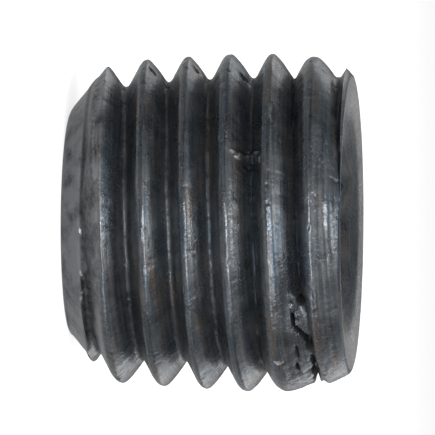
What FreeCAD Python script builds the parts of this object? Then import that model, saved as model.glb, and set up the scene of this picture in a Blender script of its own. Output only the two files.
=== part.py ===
"""Clamping screw: a short headless screw with a hexagon socket, M24 x 3 and 20 mm long.

It is one piece of steel: a turned blank, a rolled thread, and a socket pressed into one end.
Frame: millimetres, +Z along the axis from the flat point to the socket end. The origin is
the centre of the point's face, so the screw stands on its point.
"""
import FreeCAD, Part
import math
import os

# ---- driving dimensions (mm, degrees) -------------------------------------------------

length = 20.0               # point face to the top of the rim round the socket
thread_diameter = 24.0      # over the full crests
pitch = 3.0                 # coarse pitch of a 24 mm screw

flank_angle = 60.0          # between the two flanks of the groove
crest_flat = 0.125          # flat of a full crest, in pitches
root_rounding = 0.144       # radius of the groove's round bottom, in pitches
thread_start = -84.0        # where a crest passes the point's face, from +X towards +Y
groove_lean = 2.4           # the groove's bottom comes out this much, from the axis
groove_true_height = 14.0   # where the groove has its standard depth: deeper below, less above

point_inset = 4.38          # the point's face ends this far inside the full crests
point_edge_radius = 0.7     # rounding between the face and the chamfer
point_slope = 50.0          # the point's chamfer, from the axis
first_crest_drop = 0.57     # the chamfer ends this far below the full crests: the first are not full
full_crest_height = 12.0    # from here on they are

last_crest_drop = 0.25      # the crests fall again towards the socket end, by this much
crest_fall_length = 2.0     # over this length
rim_slope = 25.0            # taper outside the rim, from the axis
rim_inset = 1.7             # the rim's highest circle is this far inside the full crests
rim_edge_radius = 0.6       # rounding over the rim

socket_across_flats = 12.0
socket_depth = 10.0         # rim to the shoulder at the bottom of the hexagon
socket_turn = -8.0          # where one corner of the hexagon points, from +X towards +Y
dish_slope = 7.5            # shallow dish round the socket, from square to the axis
lead_in_width = 1.07        # of the cone that guides the key in, outside the hexagon's corners
lead_in_slope = 38.0        # that cone, from square to the axis
pilot_gap = 0.1             # the drilled pilot stays this far inside the flats
drill_point_angle = 118.0   # between the sides of the drill's tip

# The thread was once forced: over one stretch a crest is folded across the groove above it.
fold_start = -62.0          # where the stretch begins, from +X towards +Y
fold_turn = 84.0            # how far round it reaches
fold_crest = 5              # the crest that is folded, counted up from the first over +X
fold_drop = 0.95            # the groove is filled there to this far below the full crests
fold_gap = 0.35             # crack left between the fold and the next crest
fold_lean = 25.0            # lean of the crack's wall, from square to the axis

root_flats = 2              # roundings are made as so many flats, which keeps the solid light
rim_flats = 2
point_edge_flats = 1
run_out = 1                 # turns that the groove goes on past each end
tool_clearance = 0.4        # how far each cutting shape stands out of the metal that it cuts

crest_radius = thread_diameter / 2
corner_radius = socket_across_flats / 2 / math.cos(math.radians(30))
lead_in_radius = corner_radius + lead_in_width

ORIGIN = FreeCAD.Vector(0, 0, 0)
AXIS = FreeCAD.Vector(0, 0, 1)


# ---- helpers --------------------------------------------------------------------------

def sine(angle):
    return math.sin(math.radians(angle))


def cosine(angle):
    return math.cos(math.radians(angle))


def tangent(angle):
    return math.tan(math.radians(angle))


def rounding(radius, height, bend, start, end, flats):
    """Corners of a rounding of radius bend about a centre, from angle start to end, 0 being outwards."""
    step = (end - start) / (flats + 1)
    reach = bend / cosine(step / 2)
    angles = [start + step * (i + 0.5) for i in range(flats + 1)]
    return [(radius + reach * cosine(a), height + reach * sine(a)) for a in angles]


def closed_wire(corners):
    """A closed outline in the XZ half-plane, from its (radius, height) corners."""
    return Part.makePolygon([FreeCAD.Vector(r, 0, z) for r, z in corners + corners[:1]])


def turned(corners):
    """The solid that an outline sweeps in one turn about the axis."""
    return Part.Face(closed_wire(corners)).revolve(ORIGIN, AXIS, 360)


# ---- the blank: point, body and socket end --------------------------------------------

def make_blank():
    """The turned blank, and the height of the dish's floor, where the socket starts."""
    point_edge = rounding(crest_radius - point_inset, point_edge_radius, point_edge_radius,
                          -90, -point_slope, point_edge_flats)
    first_crest = crest_radius - first_crest_drop
    edge_radius, edge_height = point_edge[-1]
    chamfer_top = edge_height + (first_crest - edge_radius) / tangent(point_slope)

    rim = rounding(crest_radius - rim_inset, 0, rim_edge_radius, rim_slope, 90 + dish_slope, rim_flats)
    lift = length - max(height for radius, height in rim)
    rim = [(radius, height + lift) for radius, height in rim]
    last_crest = crest_radius - last_crest_drop
    taper_foot = rim[0][1] - (last_crest - rim[0][0]) / tangent(rim_slope)
    dish_floor = rim[-1][1] - (rim[-1][0] - lead_in_radius) * tangent(dish_slope)

    outline = [(0, 0)]
    outline += point_edge
    outline += [(first_crest, chamfer_top), (crest_radius, full_crest_height)]
    outline += [(crest_radius, taper_foot - crest_fall_length), (last_crest, taper_foot)]
    outline += rim
    outline += [(lead_in_radius, dish_floor), (0, dish_floor)]
    return turned(outline), dish_floor


# ---- the thread -----------------------------------------------------------------------

def groove_section(top_radius):
    """The groove's outline: a V whose round bottom is tangent to both flanks."""
    lean = flank_angle / 2
    half_width = pitch * (1 - crest_flat) / 2
    v_bottom = top_radius - half_width / tangent(lean)
    root_radius = pitch * root_rounding
    root_centre = v_bottom + root_radius / sine(lean)
    root = rounding(root_centre, 0, root_radius, 270 - lean, 90 + lean, root_flats)
    top = top_radius + tool_clearance
    return closed_wire([
        (top, -half_width),
        (top_radius, -half_width),
        *root,
        (top_radius, half_width),
        (top, half_width),
    ])


def swept(section, radius, start_angle, start_height, turns, lean=0):
    """The solid that an outline sweeps along the thread, from an angle and a height."""
    helix = Part.makeLongHelix(pitch, turns * pitch, radius, lean)
    body = helix.makePipeShell([section], True, True)
    body.translate(AXIS * start_height)
    body.rotate(ORIGIN, AXIS, start_angle)
    return body


def crest_height(angle, turn):
    """Where a crest passes an angle, on a turn counted up from the first one over +X."""
    return pitch * ((angle - thread_start) / 360 + turn)


def make_fold():
    """Metal folded off a crest. It fills the groove above up to a crack beside the next crest."""
    bottom = crest_radius - pitch
    top = crest_radius - fold_drop
    next_crest_foot = pitch / 2 * crest_flat + fold_drop * tangent(flank_angle / 2)
    edge = pitch / 2 - next_crest_foot - fold_gap
    section = closed_wire([
        (bottom, -pitch / 2),
        (top, -pitch / 2),
        (top, edge),
        (bottom, edge - (top - bottom) * tangent(fold_lean)),
    ])
    start_height = crest_height(fold_start, fold_crest) + pitch / 2
    return swept(section, bottom, fold_start, start_height, fold_turn / 360)


def make_groove():
    """The helical cut. It starts and ends off the metal, and leans out towards the socket end."""
    turns = math.ceil(length / pitch) + 2 * run_out
    top_radius = crest_radius - (groove_true_height + run_out * pitch) * tangent(groove_lean)
    # the groove's bottom lies half a pitch from the crest that thread_start places
    start_height = crest_height(thread_start, -run_out) + pitch / 2
    groove = swept(groove_section(top_radius), top_radius, thread_start, start_height, turns, groove_lean)
    return groove.cut(make_fold())


# ---- the key socket -------------------------------------------------------------------

def make_socket(mouth):
    """Lead-in cone, hexagon and drilled pilot as one shape to cut away. mouth is the dish's floor."""
    cone_radius = lead_in_radius + tool_clearance
    cone_top = mouth + tool_clearance * tangent(lead_in_slope)
    cone_tip = mouth - lead_in_radius * tangent(lead_in_slope)
    lead_in = turned([(0, cone_tip), (cone_radius, cone_top), (0, cone_top)])

    floor = length - socket_depth
    corners = []
    for i in range(7):
        angle = socket_turn + 60 * i
        corners.append(FreeCAD.Vector(corner_radius * cosine(angle), corner_radius * sine(angle), floor))
    hexagon = Part.Face(Part.makePolygon(corners)).extrude(AXIS * (cone_top - floor))

    pilot_radius = socket_across_flats / 2 - pilot_gap
    pilot_tip = floor - pilot_radius / tangent(drill_point_angle / 2)
    pilot = turned([(0, pilot_tip), (pilot_radius, floor), (0, floor)])
    return lead_in.fuse([hexagon, pilot])


# ---- the finished screw ---------------------------------------------------------------

def make_screw():
    blank, mouth = make_blank()
    return blank.cut(make_groove()).cut(make_socket(mouth))


os.makedirs("parts", exist_ok=True)
screw = make_screw()
screw.exportStep("parts/clamping_screw.step")
print("solids", len(screw.Solids), "valid", screw.isValid(), "volume", round(screw.Volume, 1))
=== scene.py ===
"""The looks of a clamping screw: a short headless screw with a hexagon socket.

The screw is one piece of steel, so one mesh stands for the whole of it. Lengths are in
millimetres until the mesh is made. +Z runs along the axis, from the point to the socket end.
"""
import math

import bpy
import numpy as np
from mathutils import Matrix, Vector, noise


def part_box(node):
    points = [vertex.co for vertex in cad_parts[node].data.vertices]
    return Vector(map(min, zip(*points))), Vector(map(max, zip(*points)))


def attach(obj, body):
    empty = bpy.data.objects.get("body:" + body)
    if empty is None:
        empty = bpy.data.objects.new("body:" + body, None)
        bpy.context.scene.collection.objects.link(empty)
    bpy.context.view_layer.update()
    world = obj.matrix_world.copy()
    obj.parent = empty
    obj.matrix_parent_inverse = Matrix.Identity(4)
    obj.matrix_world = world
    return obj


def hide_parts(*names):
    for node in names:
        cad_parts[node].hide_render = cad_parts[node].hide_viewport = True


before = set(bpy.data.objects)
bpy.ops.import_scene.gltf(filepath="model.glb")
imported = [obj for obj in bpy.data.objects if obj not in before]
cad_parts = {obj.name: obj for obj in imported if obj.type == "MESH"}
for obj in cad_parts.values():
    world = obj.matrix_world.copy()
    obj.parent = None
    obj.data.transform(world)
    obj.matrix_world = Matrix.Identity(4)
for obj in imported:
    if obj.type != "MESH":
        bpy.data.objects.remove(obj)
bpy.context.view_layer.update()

# ---- The screw ------------------------------------------------------------------------
# A length of alloy steel bar, turned to a blank with a chamfered point. The thread is rolled
# between dies, the socket is pressed in, and the whole is blackened in hot oxide salts. Hard
# use has rubbed the crests and folded one stretch of thread over.

MM = 0.001
low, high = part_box("clamping_screw")
length = (high[2] - low[2]) / MM
crest_radius = (high[0] - low[0]) / MM / 2

# The blank, from the point to the socket end.
face_radius = 7.62
edge_radius = 0.7             # rounding between the face and the chamfer
point_slope = 50.0            # the chamfer, from the axis
point_offset = 0.06           # the point was turned this far off the thread's axis
point_offset_angle = 185.0
point_end = (2.0, 4.0)        # heights over which that stops
first_crest_radius = 11.43    # the first crests are lower
full_crest_height = 12.0      # and full from this height
last_crest_radius = 11.75     # the last are lower again
crest_fall = 2.0              # after falling over this height
rim_slope = 25.0              # the taper under the rim, from the axis
rim_radius = 10.3
rim_rounding = 0.6
dish_slope = 7.5              # the dish inside the rim, from level
lead_in_radius = 8.0
lead_in_slope = 38.0          # the cone that leads into the socket, from level
mouth_rounding = 0.5


def tan(degrees):
    """The tangent of an angle in degrees."""
    return math.tan(math.radians(degrees))


# heights and radii where the outline changes
edge_top = edge_radius * (1 - math.cos(math.radians(90 - point_slope)))
edge_out = face_radius + edge_radius * math.sin(math.radians(90 - point_slope))
chamfer_top = edge_top + (first_crest_radius - edge_out) / tan(point_slope)
rim_centre = length - rim_rounding
rim_out = rim_radius + rim_rounding * math.cos(math.radians(rim_slope))
rim_foot = rim_centre + rim_rounding * math.sin(math.radians(rim_slope))
taper_foot = rim_foot - (last_crest_radius - rim_out) / tan(rim_slope)
dish_angle = math.radians(90 + dish_slope)
dish_out = rim_radius + rim_rounding * math.cos(dish_angle)
dish_top = rim_centre + rim_rounding * math.sin(dish_angle)
mouth = dish_top - (dish_out - lead_in_radius) * tan(dish_slope)


def blank_radius(z):
    """The turned blank: its chamfer, the rise to full crests, their fall, and the rim's taper."""
    heights = [edge_top, chamfer_top, full_crest_height, taper_foot - crest_fall, taper_foot,
               rim_foot, length]
    radii = [edge_out, first_crest_radius, crest_radius, crest_radius, last_crest_radius,
             rim_out, rim_out - (length - rim_foot) * tan(rim_slope)]
    return np.interp(z, heights, radii)


def soft_min(a, b, width):
    """The smaller of two, rounded over where they cross."""
    blend = np.clip(0.5 + (b - a) / (2 * width), 0, 1)
    return b + (a - b) * blend - width * blend * (1 - blend)


def mouth_height(radius):
    """The dish and the lead-in cone below it, with the edge between them rounded away."""
    dish_floor = dish_top - (dish_out - radius) * tan(dish_slope)
    cone = mouth - (lead_in_radius - radius) * tan(lead_in_slope)
    return soft_min(dish_floor, cone, mouth_rounding)


def bump(distance, width):
    """1 in the middle, falling smoothly to 0 at width."""
    return np.clip(1 - (distance / width) ** 2, 0, 1) ** 2


def ramp(value, start, end):
    """0 at start, 1 at end, smooth between."""
    part = np.clip((value - start) / (end - start), 0, 1)
    return part * part * (3 - 2 * part)


seed_gap = 17.3               # seeds are this far apart in the noise
octave_smoothness = 0.7       # finer octaves are fainter by this power
octave_ratio = 2.1


def noise_grid(theta, z, along_size, across_size, seed, octaves=2):
    """Seeded noise over the surface, from -1 to 1, in grains so long and so wide (mm)."""
    angle = np.radians(theta)
    x = crest_radius * np.cos(angle) / along_size
    y = crest_radius * np.sin(angle) / along_size
    h = z / across_size + seed * seed_gap
    flat = [noise.fractal(Vector(p), octave_smoothness, octave_ratio, octaves)
            for p in zip(x.ravel(), y.ravel(), h.ravel())]
    return np.array(flat).reshape(theta.shape)


def half_turns(theta):
    """The same angle, from -180 to 180 degrees."""
    return (theta + 180) % 360 - 180


# The thread's line, a right-hand helix.
pitch = 3.0
crest_at_x = 0.667            # height of the first crest over +X, above the point's face

# The fold. Hard use laid one crest over, across the groove above it. For angles along it: the
# crack's distance from the folded crest's line, half its width, and how far the groove is filled.
fold_crest = 5                # the crest that is folded, counted from the first
fold_line = [
    (-64, 1.30, 0.02, 0.00), (-62, 1.30, 0.02, 0.50), (-56, 1.26, 0.02, 0.90), (-51, 1.38, 0.04, 1.00),
    (-48.6, 1.64, 0.08, 1.00), (-45, 2.09, 0.14, 1.00), (-39, 2.35, 0.09, 1.00), (-34, 2.37, 0.05, 1.00),
    (-25, 2.40, 0.14, 1.00), (-12, 2.20, 0.14, 1.00), (0, 1.98, 0.10, 1.00), (22, 1.95, 0.05, 0.00),
]
fold_top = 12.0               # radius of the folded metal at its crest
fold_lip = 11.34              # and beside the crack
fold_reach = 1.9              # which is about this far from the crest
fold_overshoot = 1.3          # past there it goes on falling, up to this many reaches
fold_wave = 0.06              # it is hammered uneven by this much
fold_sunk = 0.35              # and pressed in at its start, between these angles
fold_start = (-62, -48)
fold_from = 0.15              # it fills the groove from here on, past the folded crest
fold_to = 2.75                # and up to here
crack_wander = 0.10           # the crack strays this far from its line
crack_uneven = 0.5            # and half its width changes by this share of that
crack_edge = 0.10             # its walls slope over this width
crack_depth = 0.75            # below the fold's lip
crack_steepness = 1.8         # its walls fall this much faster than a smooth hollow's
crack_shut = 0.02             # half its width where it is shut, and where it is full depth
crack_open = 0.08


def folded(theta, z, surface):
    """The surface with the folded crest laid across the groove above it."""
    stations, crack_at, half_width, fill = zip(*fold_line)
    theta = half_turns(theta)
    across = z - crest_at_x - pitch * (fold_crest + theta / 360)
    ragged = crack_wander * noise_grid(theta, z, along_size=1.0, across_size=30.0, seed=3, octaves=3)
    crack = np.interp(theta, stations, crack_at) + ragged
    half = np.maximum(np.interp(theta, stations, half_width) + crack_uneven * ragged, crack_shut)
    amount = np.interp(theta, stations, fill, left=0, right=0)
    lid = fold_top - (fold_top - fold_lip) * np.clip(across / fold_reach, 0, fold_overshoot)
    lid = lid + fold_wave * noise_grid(theta, z, along_size=1.3, across_size=1.0, seed=5)
    lid = lid - fold_sunk * (1 - ramp(theta, *fold_start))
    over_groove = (across > fold_from) & (across < fold_to)
    filled = np.where(over_groove, surface + np.maximum(lid - surface, 0) * amount, surface)
    depth = bump(across - crack, half + crack_edge) * (amount > 0) * ramp(half, crack_shut, crack_open)
    bottom = np.minimum(surface, fold_lip - crack_depth)
    return filled + (np.minimum(bottom, filled) - filled) * np.clip(depth * crack_steepness, 0, 1)


# Dents, pits and burrs chosen one by one: angle, height, size round and size up (mm), how far
# the metal stands out (or in, where it is negative), and how ragged it is.
marks = [
    (-162.9, 6.04, 0.42, 0.30, -0.50, 0.2),    # punched pit on the second crest
    (-165.0, 9.12, 0.60, 0.28, -0.42, 0.3),    # slanting dent on the third crest
    (-160.0, 12.55, 0.70, 0.45, -0.35, 0.9),   # broken edge of the fourth crest
    (-115.8, 12.50, 0.22, 0.35, 0.14, 1.6),    # burr pressed across the groove after the fourth crest
    (-114.6, 12.95, 0.36, 0.40, 0.50, 1.2),
    (-114.8, 13.40, 0.38, 0.40, 0.75, 1.2),
    (-115.6, 13.85, 0.36, 0.40, 0.55, 1.2),
    (-113.0, 14.20, 0.75, 0.20, 0.30, 1.2),
    (-117.4, 13.15, 0.40, 0.40, -0.70, 0.5),   # hollows beside that burr
    (-112.3, 13.45, 0.45, 0.45, -0.50, 0.8),
    (-136.0, 15.22, 0.30, 0.20, 0.30, 0.6),    # bright nubs on the fifth crest
    (-130.0, 14.95, 0.90, 0.25, 0.14, 1.4),
    (-34.0, 15.40, 0.22, 0.60, -0.30, 0.4),    # dent across the folded crest
    (-60.0, 17.22, 0.50, 0.30, -1.00, 0.6),    # hole where the fold begins
    (-62.6, 16.93, 0.30, 0.28, -0.60, 0.6),
    (-57.5, 16.70, 1.20, 0.40, 0.14, 1.6),     # crumbs beside the hole
    (-54.5, 16.95, 0.80, 0.35, 0.10, 1.6),
    (-37.0, 16.74, 1.30, 0.18, -0.30, 0.3),    # second crack in the fold
    (-28.0, 16.64, 1.30, 0.18, -0.32, 0.3),
    (-30.0, 1.06, 0.25, 0.20, -0.10, 0.2),     # nick in the chamfer
    (-92.0, 19.28, 5.50, 0.45, 0.16, 0.2),     # the last crest rolled over along its edge
    (-122.0, 19.02, 3.00, 0.42, 0.12, 0.2),
    (-178.0, 19.35, 1.80, 0.28, -0.25, 0.8),   # torn edge where the groove runs out at the rim
    (-180.0, 19.62, 2.20, 0.22, 0.14, 0.2),    # the rim drawn up to a tip, and bevelled past it
    (-180.0, 20.05, 3.00, 0.36, -0.30, 0.0),
    (-58.0, 18.14, 3.20, 0.24, -0.08, 0.4),    # two shallow tracks along the last crest
    (-58.0, 18.85, 3.20, 0.24, -0.08, 0.4),
    (-62.0, 1.75, 0.60, 0.25, -0.12, 1.0),     # scale chipped off where the thread starts
    (-96.0, 2.00, 0.55, 0.30, -0.07, 1.0),
    (-88.0, 1.90, 0.45, 0.28, -0.07, 1.0),
    (-80.0, 2.05, 0.60, 0.30, -0.08, 1.0),
    (-71.0, 2.10, 0.50, 0.30, -0.08, 1.0),
    (-103.0, 2.05, 0.50, 0.28, -0.06, 1.0),
]

most_ragged = 2               # a mark is nowhere more than this many times as high as it is said to be

# General unevenness: how high, its grains' size along and across, and its seed.
unevenness = [(0.030, 5.0, 0.8, 6), (0.018, 0.8, 0.5, 7)]
pit_depth = 0.07
pit_shows = (0.42, 0.8)       # where in the noise a pit starts, and is full depth
scab_height = 0.10            # the groove beside the burr is scabbed over
scab_angle = -104             # about this angle and height
scab_middle = 13.6
scab_round = 6.5              # so far round and up
scab_up = 1.1


def worn(theta, z, radius):
    """The surface with its marks, its general unevenness and its pits."""
    ragged = noise_grid(theta, z, along_size=0.5, across_size=0.4, seed=9, octaves=3)
    for angle, middle, round_size, up_size, lift, raggedness in marks:
        turned = half_turns(theta - angle)
        round_gap = np.radians(turned) * crest_radius
        up_gap = z - middle - pitch * turned / 360
        gap = np.sqrt((round_gap / round_size) ** 2 + (up_gap / up_size) ** 2)
        radius = radius + lift * bump(gap, 1) * np.clip(1 + raggedness * ragged, 0, most_ragged)
    for lift, along_size, across_size, seed in unevenness:
        radius = radius + lift * noise_grid(theta, z, along_size, across_size, seed, octaves=3)
    pits = ramp(noise_grid(theta, z, along_size=0.8, across_size=0.7, seed=8), *pit_shows)
    round_gap = np.radians(half_turns(theta - scab_angle)) * crest_radius
    scabbed = bump(np.sqrt((round_gap / scab_round) ** 2 + ((z - scab_middle) / scab_up) ** 2), 1)
    scabs = scabbed * noise_grid(theta, z, along_size=0.7, across_size=0.5, seed=10, octaves=3)
    return radius - pit_depth * pits + scab_height * scabs


# The start of the thread on the chamfer. For angles: depth and height of the hollow turned into
# the chamfer there, and how far the first crest stands out past it.
start_line = [
    (-170, 0.00, 1.75, 0.00), (-142, 0.38, 1.74, 0.50), (-121, 0.46, 1.70, 0.68), (-97, 0.28, 1.54, 0.36),
    (-84, 0.18, 1.50, 0.20), (-70, 0.24, 1.58, 0.08), (-58, 0.32, 1.76, 0.00), (-35, 0.30, 1.85, 0.00),
    (-15, 0.00, 1.90, 0.00),
]
hollow_width = 0.14           # half the width of the shallowest hollow
hollow_spread = 0.6           # and how much wider it is for its depth
shoulder_height = 2.4         # where the first crest stands out, at the angle given next
shoulder_angle = -121
shoulder_climb = 0.015        # its rise for each degree round from there
shoulder_width = 0.75


def start_of_thread(theta, z):
    """How far the thread's first turn stands out of the chamfer, or is cut into it."""
    stations, depths, heights, shoulders = zip(*start_line)
    theta = half_turns(theta)
    depth = np.interp(theta, stations, depths)
    hollow = depth * bump(z - np.interp(theta, stations, heights), hollow_width + hollow_spread * depth)
    climb = (theta - shoulder_angle) * shoulder_climb
    shoulder = np.interp(theta, stations, shoulders) * bump(z - shoulder_height - climb, shoulder_width)
    return shoulder - hollow


# The lip that the dies raised where the groove runs out over the chamfer.
lip_lift = 0.46               # how far it stands out at most
lip_width = 0.42
lip_height = 1.38             # above the face, and its climb between two angles
lip_climb = 0.30
lip_climbs = (-90, 0)
lip_begins = (-160, -120)     # it begins faint between these angles
lip_faintest = 0.25
lip_grows = (-80, -10)        # grows to its full lift
lip_fades = (60, 110)         # and is faint again


def lip(theta, z):
    """The raised lip: strongest near +X, fading round towards where the groove begins."""
    line = lip_height + lip_climb * ramp(theta, *lip_climbs)
    grown = ramp(theta, *lip_grows) * (1 - ramp(theta, *lip_fades))
    strength = lip_faintest + (1 - lip_faintest) * grown
    strength = strength * ramp(theta, *lip_begins)
    return lip_lift * strength * bump(z - line, lip_width)


# The thread. The rolled crests are uneven. At places along it, in turns from the first crest
# over +X: where the crest's land begins and ends, from the crest's true line, and where the
# seam runs that the two flanks leave when the dies squeeze them up.
crest_land = [
    (-0.25, -0.40, 0.18, 0.00), (0.00, -0.40, -0.09, 0.00), (0.25, -0.40, 0.10, 0.00),
    (0.50, -0.32, 0.28, 0.00), (0.66, -0.59, 0.50, -0.02), (0.75, -0.14, 0.45, 0.10),
    (0.84, -0.22, 0.35, 0.02), (1.00, -0.20, 0.31, 0.05), (1.50, -0.04, 0.50, 0.20),
    (1.75, -0.18, 0.50, 0.21), (2.00, -0.28, 0.27, 0.10), (2.50, -0.14, 0.43, 0.25),
    (2.75, -0.10, 0.50, 0.28), (3.00, -0.14, 0.28, 0.12), (3.50, -0.22, 0.46, 0.25),
    (3.75, -0.24, 0.46, 0.26), (4.00, -0.33, 0.28, 0.10), (4.50, -0.12, 0.42, 0.22),
    (4.75, -0.30, 0.55, 0.22), (5.00, -0.78, 0.52, 0.05), (5.50, -0.40, 0.58, 0.05),
    (5.75, -0.42, 1.12, 0.82), (6.00, -0.30, 1.55, 1.10),
]
usual_half_land = 0.35
least_half_land = 0.2
crest_crown = 0.15            # a usual land is domed by this much, and a wide one by more
crest_wander = 0.045          # the crests stray this far from their line
near_rounding = 0.24          # rounding of a usual land's edge on the point's side
far_rounding = 0.40           # and on the socket's side
ridge_height = 0.035          # a ridge runs along the edge on the socket's side
ridge_inset = 0.16
ridge_width = 0.22
seam_depth = 0.055            # the seam shows only on the side where the crests lean
seam_width = 0.20
seam_stray = 2                # it strays this many times as far as its crest
lean_to_point = 27.5          # flank that faces the point, from square to the axis
lean_to_socket = 35.0         # flank that faces the socket: the dies were not quite in line
root_shift = 0.19             # so the bottom of the groove is not midway between two crests
root_marks = [1.5, 2.4, 3.9, 6.9, 9.9, 12.9, 16.0, 19.0]
root_radii = [8.90, 9.10, 9.20, 9.30, 9.40, 9.80, 10.05, 10.33]   # of the groove, at those heights
root_blend = 0.80             # rounding of the groove's bottom
last_root_blend = 0.15        # and of its last turn, from between these heights
last_root_from = (12.5, 14.5)

# On one side the crests lean towards the point, and the groove is rounder.
leaning_angle = -90           # the middle of that side
leaning_reach = 80            # degrees to each side of it
leaning_from = (2.5, 4.0)     # it starts past the first crest, between these heights
leaning_blend = 0.5           # the groove's rounding grows by this share
steeper_to_point = 5.5        # and the flanks turn by these angles
flatter_to_socket = 5.0

# How far the thread is rounded over where it meets the blank.
meet_rounding = 0.05          # at the point
meet_rounding_past = 0.09     # more past it
meet_rounding_first = 0.22    # and more again on the first crest, about this height
first_crest_height = 3.0
first_crest_reach = 0.9


def thread_radius(theta, z):
    """Radius of the threaded surface at an angle (degrees) and a height."""
    places, land_from, land_to, seams = zip(*crest_land)
    wander = crest_wander * noise_grid(theta, z, along_size=3.5, across_size=30.0, seed=1, octaves=3)
    turn = (z - crest_at_x) / pitch - theta / 360
    surface = np.interp(z, root_marks, root_radii)
    front = bump(half_turns(theta - leaning_angle), leaning_reach)
    leaning = front * ramp(z, *leaning_from)
    point_slant = np.radians(lean_to_point - steeper_to_point * leaning)
    socket_slant = np.radians(lean_to_socket + flatter_to_socket * leaning)
    blend = root_blend * (1 + leaning_blend * leaning)
    blend = blend + (last_root_blend - blend) * ramp(z, *last_root_from)
    for neighbour in (-1, 0, 1):
        crest = np.round(turn) + neighbour
        here = crest + theta / 360
        across = (turn - crest) * pitch - wander
        begin = np.interp(here, places, land_from)
        end = np.interp(here, places, land_to)
        top = blank_radius(np.clip(crest_at_x + here * pitch, chamfer_top, taper_foot))
        half = np.maximum((end - begin) / 2, least_half_land)
        off_middle = (across - (begin + end) / 2) / half
        # a hyperbola, which has fallen by the crown at the land's edges
        crown = crest_crown * half / usual_half_land
        dome = top - crown * (np.sqrt(1 + 3 * off_middle ** 2) - 1)
        seam = np.interp(here, places, seams) + seam_stray * wander
        dome = dome - seam_depth * bump(across - seam, seam_width) * front
        dome = dome + ridge_height * bump(across - end + ridge_inset, ridge_width)
        to_point = top - (begin - across) / np.tan(point_slant)
        to_socket = top - (across - end) / np.tan(socket_slant)
        near = near_rounding * np.maximum(half / usual_half_land, 1)
        tooth = soft_min(soft_min(dome, to_point, near), to_socket, far_rounding)
        surface = -soft_min(-tooth, -surface, blend)
    surface = folded(theta, z, surface)
    past_point = ramp(z, *point_end)
    offset = point_offset * np.cos(np.radians(theta - point_offset_angle)) * (1 - past_point)
    blank = blank_radius(z) + offset + lip(theta, z) + start_of_thread(theta, z)
    rounding = meet_rounding + meet_rounding_past * past_point
    rounding = rounding + meet_rounding_first * bump(z - first_crest_height, first_crest_reach)
    return worn(theta, z, soft_min(surface, blank, rounding))


# The outline from the face's centre to the dish, counted in pitches along it.
face_span = 0.5
edge_span = 0.14
rim_span = 0.35
dish_span = 0.4
thread_start = face_span + edge_span
rim_start = thread_start + (rim_foot - edge_top) / pitch
dish_start = rim_start + rim_span
outline_end = dish_start + dish_span
face_crowding = 0.8           # the face's rings are closer together near its edge
join_radius = 9.3             # where the leaning rows of the mesh meet the level rings of the socket


def outline(theta, along):
    """Radius and height of the surface at an angle, along pitches out from the face's centre."""
    z = edge_top + (along - thread_start) * pitch
    radius = thread_radius(theta, z)
    face = along < face_span
    part = np.clip(along / face_span, 0, 1)
    radius = np.where(face, face_radius * part ** face_crowding, radius)
    z = np.where(face, 0, z)
    edge = (along >= face_span) & (along < thread_start)
    bend = np.radians(90 - point_slope) * np.clip((along - face_span) / edge_span, 0, 1)
    radius = np.where(edge, face_radius + edge_radius * np.sin(bend), radius)
    z = np.where(edge, edge_radius * (1 - np.cos(bend)), z)
    rim = (along >= rim_start) & (along < dish_start)
    part = np.clip((along - rim_start) / rim_span, 0, 1)
    bend = np.radians(rim_slope + (90 + dish_slope - rim_slope) * part)
    rim_z = rim_centre + rim_rounding * np.sin(bend)
    rim_r = rim_radius + rim_rounding * np.cos(bend)
    rim_r = np.minimum(rim_r, thread_radius(theta, np.minimum(rim_z, length)))
    radius = np.where(rim, rim_r, radius)
    z = np.where(rim, rim_z, z)
    dish = along >= dish_start
    part = np.clip((along - dish_start) / dish_span, 0, 1)
    radius = np.where(dish, dish_out + (join_radius - dish_out) * part, radius)
    z = np.where(dish, mouth_height(radius), z)
    return radius, z


# The columns of the mesh. One falls on each corner of the hexagon, and they are closer together
# on the sides that are damaged.
socket_turn = -8.0
side_angle = 60
columns_per_side = [52, 52, 52, 72, 104, 104]


def columns():
    """Angles round the axis, in degrees."""
    found = []
    for side, count in enumerate(columns_per_side):
        start = socket_turn + side_angle * side
        found += [start + side_angle * i / count for i in range(count)]
    return np.array(found)


# The rows of one turn, as shares of the way up from the bottom of the groove to the crest.
near_root = [0.0, 0.09, 0.18, 0.28]
flank = [0.40, 0.52, 0.64]
near_crest = [0.73, 0.80, 0.86, 0.91, 0.955]


def row_steps():
    """Places of the rows within one turn, in pitches up from the bottom of the groove."""
    shares = near_root + flank + near_crest
    root_to_crest = 0.5 - root_shift / pitch
    crest_to_root = 1 - root_to_crest
    rise = [share * root_to_crest for share in shares]
    fall = [1 - share * crest_to_root for share in reversed(shares[1:])]
    return np.array(rise + [root_to_crest] + fall)


# The rows lean with the thread: each one climbs a pitch in a turn, so a row lies along a crest.
angles = columns()
steps = row_steps()
rows_per_turn = len(steps)
turns = np.arange(-2, math.ceil(outline_end) + 1)
bottom_at_x = thread_start + (crest_at_x - edge_top) / pitch - 0.5 + root_shift / pitch
row_places = (turns[:, None] + steps[None, :]).ravel() + bottom_at_x
along = row_places[None, :] + angles[:, None] / 360
theta = np.repeat(angles[:, None], along.shape[1], axis=1)
grid_radii, grid_heights = outline(theta, np.clip(along, 0, outline_end))
count_columns, count_rows = along.shape

# The socket: a lead-in cone, six flats, and the drill's cone left at the bottom. Its rings are
# given as shares of each, with two close together where an edge stays crisp.
across_flats = 12.0
socket_depth = 10.0
pilot_gap = 0.1               # the drill was this much smaller than the hexagon, all round
drill_half_angle = 59.0
lead_in_shares = (0.12, 0.25, 0.37, 0.5, 0.62, 0.75, 0.87, 1.0)
wall_shares = (0.02, 0.25, 0.5, 0.75, 0.98, 1.0)
bottom_shares = (1.0, 0.98, 0.75, 0.5, 0.25, 0.08)

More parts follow.
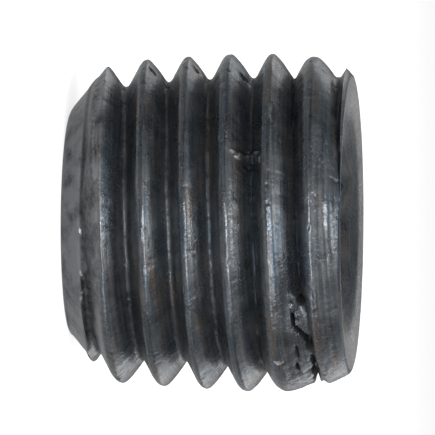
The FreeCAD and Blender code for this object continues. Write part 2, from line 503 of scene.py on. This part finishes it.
hexagon = across_flats / 2 / np.cos(np.radians((angles - socket_turn) % side_angle - side_angle / 2))
floor_height = length - socket_depth
pilot_radius = across_flats / 2 - pilot_gap
tip_height = floor_height - pilot_radius / tan(drill_half_angle)

socket_rings = []
for share in lead_in_shares:
    ring = join_radius + (hexagon - join_radius) * share
    socket_rings.append((ring, mouth_height(ring)))
cone_height = socket_rings[-1][1]
for share in wall_shares:
    socket_rings.append((hexagon, cone_height + (floor_height - cone_height) * share))
for share in bottom_shares:
    ring = np.full(count_columns, pilot_radius * share)
    socket_rings.append((ring, tip_height + ring / tan(drill_half_angle)))


def place(radii, heights):
    """Points of one ring, or of the whole grid, from their radii and heights."""
    angle = np.radians(theta if np.ndim(radii) == 2 else angles)
    return np.stack([radii * np.cos(angle), radii * np.sin(angle), heights], axis=-1)


# One closed mesh. Rows that start off the face's centre or end past the dish are merged there.
centre = 0
join_start = 1
points = [(0.0, 0.0, 0.0)]
join_height = float(mouth_height(np.array(join_radius)))
points += place(np.full(count_columns, join_radius), np.full(count_columns, join_height)).tolist()
index = np.full(along.shape, -1)
index[along <= 0] = centre
for column in range(count_columns):
    index[column, along[column] >= outline_end] = join_start + column
free = index < 0
index[free] = len(points) + np.arange(free.sum())
points += place(grid_radii, grid_heights)[free].tolist()

faces = []
face_uvs = []


def add_face(corners, corner_uvs):
    """Adds a face, without the corners that are merged with the one before."""
    kept = [i for i in range(len(corners)) if corners[i] != corners[i - 1]]
    if len(kept) > 2:
        faces.append([corners[i] for i in kept])
        face_uvs.extend(corner_uvs[i] for i in kept)


def patch(start_u, end_u, start_v, end_v):
    """The corners of one face on the map, in the order of its corners on the surface."""
    return [(start_u, start_v), (end_u, start_v), (end_u, end_v), (start_u, end_v)]


# The map "thread" unrolls the surface: u runs along the thread and v across it, both in mm.
arc = math.radians(1) * crest_radius
for column in range(count_columns):
    last = column == count_columns - 1
    beside = 0 if last else column + 1
    shift = rows_per_turn if last else 0
    start_u = angles[column] * arc
    end_u = (angles[beside] + 360 * last) * arc
    for row in range(count_rows - rows_per_turn - 1):
        corners = [index[column, row], index[beside, row + shift],
                   index[beside, row + shift + 1], index[column, row + 1]]
        if len(set(corners)) < 3:
            continue
        turn_u = 360 * turns[row // rows_per_turn] * arc
        step = row % rows_per_turn
        start_v = steps[step] * pitch
        end_v = (steps[step + 1] if step + 1 < rows_per_turn else 1.0) * pitch
        add_face(corners, patch(start_u + turn_u, end_u + turn_u, start_v, end_v))

# Inside the socket the map has patches of one size, as nothing there runs along a thread.
patch_length = 0.2
patch_width = 0.5
socket_v = 2.0                # where they start across the map
tip_patch = [(0, 0), (0.1, 0), (0.1, 0.1)]
ring_start = join_start
for ring_number, (radii, heights) in enumerate(socket_rings):
    next_start = len(points)
    points += place(radii, heights).tolist()
    start_v = socket_v + ring_number * patch_width
    for column in range(count_columns):
        beside = (column + 1) % count_columns
        start_u = angles[column] * arc
        corners = [ring_start + column, ring_start + beside, next_start + beside, next_start + column]
        add_face(corners, patch(start_u, start_u + patch_length, start_v, start_v + patch_width))
    ring_start = next_start
tip = len(points)
points.append((0.0, 0.0, tip_height))
for column in range(count_columns):
    beside = (column + 1) % count_columns
    add_face([ring_start + column, ring_start + beside, tip], tip_patch)

crease_angle = 38             # edges that bend more than this are drawn sharp
mesh = bpy.data.meshes.new("screw_body")
mesh.from_pydata([Vector(p) * MM for p in points], [], faces)
thread_map = mesh.uv_layers.new(name="thread")
thread_map.data.foreach_set("uv", np.array(face_uvs, dtype=np.float32).ravel())
mesh.polygons.foreach_set("use_smooth", [True] * len(mesh.polygons))
mesh.set_sharp_from_angle(angle=math.radians(crease_angle))
mesh.validate()

sharpest = 6                  # 1/mm, a bend of about 0.17 mm radius
smoothing_rounds = 2
shortest_edge = 0.001         # mm, so that no edge is divided by nothing


def edge_sharpness(mesh):
    """How sharply the surface bends outwards at each vertex, in 1/mm. Hollows are negative."""
    count = len(mesh.vertices)
    place_of = np.empty(count * 3)
    mesh.vertices.foreach_get("co", place_of)
    place_of = place_of.reshape(-1, 3) / MM
    normal = np.empty(count * 3)
    mesh.vertices.foreach_get("normal", normal)
    normal = normal.reshape(-1, 3)
    ends = np.empty(len(mesh.edges) * 2, dtype=int)
    mesh.edges.foreach_get("vertices", ends)
    one, other = ends.reshape(-1, 2).T
    step = place_of[other] - place_of[one]
    length_squared = np.maximum((step ** 2).sum(axis=1), shortest_edge ** 2)
    bend_at_one = -2 * (step * normal[one]).sum(axis=1) / length_squared
    bend_at_other = 2 * (step * normal[other]).sum(axis=1) / length_squared
    neighbours = np.bincount(one, minlength=count) + np.bincount(other, minlength=count)
    bend = np.bincount(one, bend_at_one, count) + np.bincount(other, bend_at_other, count)
    bend = np.clip(bend / neighbours, -sharpest, sharpest)
    for _ in range(smoothing_rounds):
        spread = np.bincount(one, bend[other], count) + np.bincount(other, bend[one], count)
        bend = 0.5 * bend + 0.5 * spread / neighbours
    return bend


sharpness = mesh.attributes.new("edge_sharpness", "FLOAT", "POINT")
sharpness.data.foreach_set("value", edge_sharpness(mesh).astype(np.float32))
screw = bpy.data.objects.new("screw_body", mesh)
bpy.context.collection.objects.link(screw)


def colour(hex_code):
    """A linear colour from an sRGB hex value."""
    channels = [int(hex_code[i:i + 2], 16) / 255 for i in (1, 3, 5)]
    return [c / 12.92 if c <= 0.04045 else ((c + 0.055) / 1.055) ** 2.4 for c in channels] + [1.0]


def set_inputs(tree, node, inputs):
    """Sets a node's inputs, by name or number, to values, or links them from nodes or outputs."""
    for name, value in inputs.items():
        if isinstance(value, bpy.types.Node):
            value = next(output for output in value.outputs if output.enabled)
        if isinstance(value, bpy.types.NodeSocket):
            tree.links.new(value, node.inputs[name])
        else:
            node.inputs[name].default_value = value


def add_node(tree, kind, settings=None, inputs=None):
    """Adds a node, with its own settings and its inputs."""
    node = tree.nodes.new("ShaderNode" + kind)
    for name, value in (settings or {}).items():
        setattr(node, name, value)
    set_inputs(tree, node, inputs or {})
    return node


multiply = {"operation": "MULTIPLY"}
multiply_add = {"operation": "MULTIPLY_ADD"}  # the first input times the second, plus the third
smooth = {"interpolation_type": "SMOOTHSTEP"}
colours = {"data_type": "RGBA"}
under, over = 6, 7            # the colours of a mix go by number, as they share their names

# Black oxide on alloy steel, rolled, then worn. The film is a dark blue-grey with a satin
# shine. It is rubbed through to brighter grey along the crests and edges, streaked along the
# thread, and stained brown where oil has dried on it. Dirt lies in its grain, and scale by the
# chamfer. The hollows and cracks are painted black as painted shade, and the point end is
# painted lighter grey, partly its worn grey and partly painted light from the white paper.
film_dark = colour("#3f4449")
film_light = colour("#606366")
film_blue = colour("#3b4955")
stain_brown = colour("#665a51")
# the point end's lighter grey: partly wear, partly painted light from the paper beside it
point_wear_and_light_grey = colour("#85878a")
bare_steel = colour("#b4b7bc")
# black for dirt and scale, and for painted shade in the hollows and cracks
dirt_scale_and_shade_black = colour("#17191c")

black_oxide = bpy.data.materials.new("black_oxide_steel")
black_oxide.use_nodes = True
tree = black_oxide.node_tree
shader = tree.nodes["Principled BSDF"]
unrolled = add_node(tree, "UVMap", {"uv_map": "thread"})
solid = add_node(tree, "TexCoord").outputs["Object"]
height = add_node(tree, "SeparateXYZ", inputs={"Vector": solid}).outputs["Z"]
outward = add_node(tree, "Attribute", {"attribute_name": "edge_sharpness"}).outputs["Fac"]

# Patterns: what each is laid on, the size of its grains, how much detail is in them, and where
# in the noise it starts. Those on the unrolled thread are so long and so wide. The rest go
# through the metal. The oxide's crystals and the dies' finest scratches are too small to show,
# so the grain, the specks and the streaks are drawn as coarse as they need to be.
patterns = {
    "streaks": (unrolled, (9.0, 0.22, 1.0), 4.0, 0.0),
    "stains": (unrolled, (7.0, 0.9, 1.0), 3.0, 31.0),
    "bluing": (unrolled, (11.0, 0.8, 1.0), 2.0, 57.0),
    "blotches": (solid, [1.6 * MM] * 3, 4.0, 0.0),
    "patches": (solid, [3.0 * MM] * 3, 2.0, 19.0),
    "grain": (solid, [0.20 * MM] * 3, 2.0, 0.0),
    "specks": (solid, [0.15 * MM] * 3, 1.0, 83.0),
    "scale": (solid, [0.35 * MM] * 3, 3.0, 71.0),
}
pattern_roughness = 0.6
pattern = {}
for name, (source, grain_size, detail, start) in patterns.items():
    scaled = add_node(tree, "Mapping", inputs={
        "Vector": source, "Location": [start] * 3, "Scale": [1 / size for size in grain_size]})
    pattern[name] = add_node(tree, "TexNoise", inputs={
        "Vector": scaled, "Scale": 1.0, "Detail": detail, "Roughness": pattern_roughness})

# The film itself: lighter and darker in streaks, and a little in blotches.
film_streaks = 0.6
film_blotches = 0.4
blotched = add_node(tree, "Math", multiply, {0: pattern["blotches"], 1: film_blotches})
streaked = add_node(tree, "Math", multiply_add, {0: pattern["streaks"], 1: film_streaks, 2: blotched})
lightness = add_node(tree, "MapRange", smooth, {"Value": streaked, "From Min": 0.38, "From Max": 0.64})
film = add_node(tree, "Mix", colours, {0: lightness, under: film_dark, over: film_light})

# The metal is rougher in patches, where its grain holds dirt and its specks catch the light.
smoothest_patch = 0.4
grain_dirt = 0.6
speck_light = 0.3
rough_patch = add_node(tree, "MapRange", inputs={
    "Value": pattern["patches"], "From Min": 0.42, "From Max": 0.60, "To Min": smoothest_patch})
dirty_grain = add_node(tree, "Math", multiply, {0: rough_patch, 1: grain_dirt})
light_specks = add_node(tree, "Math", multiply, {0: rough_patch, 1: speck_light})

# Coats over the film, one on another: how strong each is, its colour, and where it lies. Each
# place is a pattern, height or sharpness, the value where it starts and the value where it is
# full. Where there is more than one, the coat lies where they all do.
coats = {
    "bluing": (0.7, film_blue, [(pattern["bluing"], 0.50, 0.66)]),
    "dried oil": (0.5, stain_brown, [(pattern["stains"], 0.52, 0.68)]),
    "dirty grain": (dirty_grain, dirt_scale_and_shade_black, [(pattern["grain"], 0.48, 0.72)]),
    "specks": (light_specks, bare_steel, [(pattern["specks"], 0.60, 0.74)]),
    # painted light: the point end made lighter for the light the white paper throws on it, besides its worn
    # grey
    "point": (1.0, point_wear_and_light_grey, [(height, 3.4 * MM, 2.7 * MM), (pattern["blotches"], 0.25, 0.60)]),
    # painted shade: a dark line in the hollow where the thread starts on the chamfer
    "line at chamfer": (0.45, dirt_scale_and_shade_black, [(height, 1.42 * MM, 1.58 * MM), (height, 2.00 * MM, 1.66 * MM)]),
    "scale at chamfer": (0.3, dirt_scale_and_shade_black, [(height, 1.5 * MM, 1.7 * MM), (height, 2.9 * MM, 2.3 * MM)]),
    "scale flakes": (0.5, dirt_scale_and_shade_black, [
        (height, 1.5 * MM, 1.7 * MM), (height, 2.9 * MM, 2.3 * MM), (pattern["scale"], 0.42, 0.62)]),
    "rubbed": (0.2, bare_steel, [(outward, 0.8, 3.2), (pattern["streaks"], 0.42, 0.64)]),
    # painted shade: darker where the surface bends inwards, in cracks, groove bottoms and the last grooves
    "cracks": (1.0, dirt_scale_and_shade_black, [(outward, -2.6, -4.0)]),
    "hollows": (0.4, dirt_scale_and_shade_black, [(outward, -0.8, -2.5)]),
    "last groove": (0.6, dirt_scale_and_shade_black, [(outward, -0.8, -2.5), (height, 13.5 * MM, 15.0 * MM)]),
}
covered = {}
for name, (strength, tint, places) in coats.items():
    lies = 1.0
    for source, start, full in places:
        part = add_node(tree, "MapRange", smooth, {"Value": source, "From Min": start, "From Max": full})
        lies = add_node(tree, "Math", multiply, {0: part, 1: lies})
    covered[name] = lies
    amount = add_node(tree, "Math", multiply, {0: lies, 1: strength})
    film = add_node(tree, "Mix", colours, {0: amount, under: film, over: tint})

# Satin, more or less so by the grain, glossier where it is rubbed, and dull in the hollows.
glossiest = 0.24
dullest = 0.42
rubbed_gloss = 0.12
hollow_dullness = 0.32
satin_grain = 0.5
satin_blotches = 0.5
blotched = add_node(tree, "Math", multiply, {0: pattern["blotches"], 1: satin_blotches})
unevenly = add_node(tree, "Math", multiply_add, {0: pattern["grain"], 1: satin_grain, 2: blotched})
satin = add_node(tree, "MapRange", inputs={
    "Value": unevenly, "From Min": 0.35, "From Max": 0.65, "To Min": glossiest, "To Max": dullest})
polished = add_node(tree, "Math", multiply_add, {0: covered["rubbed"], 1: -rubbed_gloss, 2: satin})
roughness = add_node(tree, "Math", multiply_add, {0: covered["hollows"], 1: hollow_dullness, 2: polished})

# The dies' streaks stand up a little, and so does the grain in the rough patches.
relief_height = 0.04
relief_strength = 0.7
streak_share = 0.5
rough_grain = add_node(tree, "Math", multiply, {0: pattern["grain"], 1: rough_patch})
relief = add_node(tree, "Math", multiply_add, {0: pattern["streaks"], 1: streak_share, 2: rough_grain})
raised = add_node(tree, "Bump", inputs={
    "Height": relief, "Strength": relief_strength, "Distance": relief_height * MM})
oxide_metallic = 0.85         # the oxide film is not quite a metal
set_inputs(tree, shader, {
    "Base Color": film, "Metallic": oxide_metallic, "Roughness": roughness, "Normal": raised})
mesh.materials.append(black_oxide)

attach(screw, "root")
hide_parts("clamping_screw")

# ---- The table ------------------------------------------------------------------------
# A sheet of matt white paper, laid flat, which runs on behind as the background. It is
# bleached pulp pressed smooth, and gives the eye an even white with no shine.

table_size = 4                # metres, so that it runs out of sight
paper_white = colour("#dedede")
paper_in_steel = colour("#808080")
light_white = colour("#ffffff")
paper_roughness = 0.9
paper_glow = 0.74             # how far the camera sees the paper lifted towards white
glow_in_steel = 0.40          # and how far the screw's own reflections do

bpy.ops.mesh.primitive_plane_add(size=table_size, location=(0, 0, 0))
table = bpy.context.object
table.name = "table"
paper = bpy.data.materials.new("white_paper")
paper.use_nodes = True
tree = paper.node_tree
shader = tree.nodes["Principled BSDF"]
# the steel mirrors a dimmer paper than the camera sees, so its edges don't burn out
seen = add_node(tree, "LightPath").outputs
mirrored = seen["Is Glossy Ray"]
whiteness = add_node(tree, "Mix", colours, {0: mirrored, under: paper_white, over: paper_in_steel})
glow_unseen = add_node(tree, "MapRange", inputs={"Value": mirrored, "To Max": glow_in_steel})
glow = add_node(tree, "MapRange", inputs={
    "Value": seen["Is Camera Ray"], "To Min": glow_unseen, "To Max": paper_glow})
set_inputs(tree, shader, {
    "Base Color": whiteness, "Roughness": paper_roughness,
    "Emission Color": light_white, "Emission Strength": glow})
table.data.materials.append(paper)

# ---- The light ------------------------------------------------------------------------
# Soft boxes round the screw, each given by its direction from the screw (degrees round from
# the camera, and up), its distance and size, and how bright its face is (1 is white).

background_white = 1.0        # how bright the room is to the camera
room_light = 0.04             # and to everything else
soft_boxes = {
    "top_box": (0, 72, 0.30, 0.15, 5.2),
    "low_box": (0, 12, 0.05, 0.016, 16.0),     # three small ones draw the light lines on the crests
    "low_right_box": (27, 13, 0.05, 0.016, 8.0),
    "foot_box": (50, 5, 0.05, 0.02, 2.5),
    "side_box": (30, 16, 0.30, 0.15, 1.2),
    "front_box": (0, 45, 0.30, 0.15, 1.1),
    "back_box": (210, 16, 0.30, 0.15, 1.1),
    "other_back_box": (150, 16, 0.30, 0.15, 1.6),
    "far_box": (180, 18, 0.30, 0.10, 1.0),
    "left_wall": (240, 3, 0.30, 0.40, 0.35),   # walls that the crests' far edges mirror
    "right_wall": (120, 3, 0.30, 0.40, 0.35),
    "ring_front_right": (45, 45, 0.30, 0.35, 0.9),
    "ring_back_right": (135, 45, 0.30, 0.35, 0.5),
    "ring_back_left": (225, 45, 0.30, 0.35, 0.3),
    "ring_front_left": (315, 45, 0.30, 0.35, 0.8),
}

world = bpy.data.worlds.new("studio")
bpy.context.scene.world = world
world.use_nodes = True
tree = world.node_tree
seen = add_node(tree, "LightPath").outputs
sky = add_node(tree, "MapRange", inputs={
    "Value": seen["Is Camera Ray"], "To Min": room_light, "To Max": background_white})
set_inputs(tree, tree.nodes["Background"], {"Color": light_white, "Strength": sky})

middle = Vector((0, 0, length / 2 * MM))
for name, (turned, raised, distance, size, brightness) in soft_boxes.items():
    lamp_data = bpy.data.lights.new(name, "AREA")
    lamp_data.shape = "DISK"
    lamp_data.size = size
    lamp_data.energy = brightness * math.pi * math.pi * (size / 2) ** 2
    lamp = bpy.data.objects.new(name, lamp_data)
    bpy.context.collection.objects.link(lamp)
    turned = math.radians(turned)
    raised = math.radians(raised)
    level_part = math.cos(raised)
    direction = Vector((math.sin(turned) * level_part, -math.cos(turned) * level_part, math.sin(raised)))
    lamp.location = middle + direction * distance
    lamp.rotation_euler = (-direction).to_track_quat("-Z", "Y").to_euler()

# ---- The camera -----------------------------------------------------------------------
# Far off with a long lens, a little above the socket end, and turned so that the screw's
# axis lies across the view with the socket to the right.

elevation = 5.1
roll = 0.3
camera_distance = 1.2         # metres, and so is the width of the view at the screw
view_width = 0.03086
look_right = 0.43 * MM        # the view's centre, from the screw's middle
look_up = 0.33 * MM
camera_data = bpy.data.cameras.new("camera")
camera = bpy.data.objects.new("camera", camera_data)
bpy.context.collection.objects.link(camera)
bpy.context.scene.camera = camera
camera_data.sensor_width = 36
camera_data.lens = camera_data.sensor_width * camera_distance / view_width
camera_data.clip_start = 0.01
camera_data.clip_end = 10
tilt = math.radians(elevation)
turn = math.radians(roll)
back = Vector((0, -math.cos(tilt), math.sin(tilt)))
level = Vector((0, math.sin(tilt), math.cos(tilt)))
across = Vector((-1, 0, 0))
right = level * math.cos(turn) + across * math.sin(turn)
up = across * math.cos(turn) - level * math.sin(turn)
target = middle + right * look_right + up * look_up
facing = Matrix((right, up, back)).transposed().to_4x4()
camera.matrix_world = Matrix.Translation(target + back * camera_distance) @ facing

bpy.context.scene.view_settings.view_transform = "Standard"
